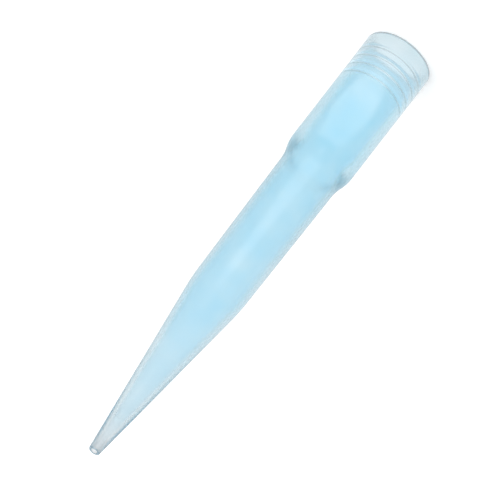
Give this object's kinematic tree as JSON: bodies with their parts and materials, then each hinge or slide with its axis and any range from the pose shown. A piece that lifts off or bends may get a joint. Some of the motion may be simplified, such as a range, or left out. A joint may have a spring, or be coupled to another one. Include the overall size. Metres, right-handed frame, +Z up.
{
  "type": "pipette tip",
  "caption": "Slender translucent tapered tube: a plain collar with a nozzle seat and sealing rings inside, a gently tapered body and a long cone to a fine orifice.",
  "frame": {"origin": "the centre of the mouth's rim, on the surface that the tip stands on", "axes": "+Z up along the tip's own axis, from its open mouth to its point; the tip is round, so X and Y are alike"},
  "size_m": [0.0094, 0.0094, 0.071],
  "materials": {
    "polypropylene": "translucent light blue polypropylene, smooth as moulded"
  },
  "bodies": {
    "root": {"pipette_tip": "polypropylene"}
  },
  "joints": []
}
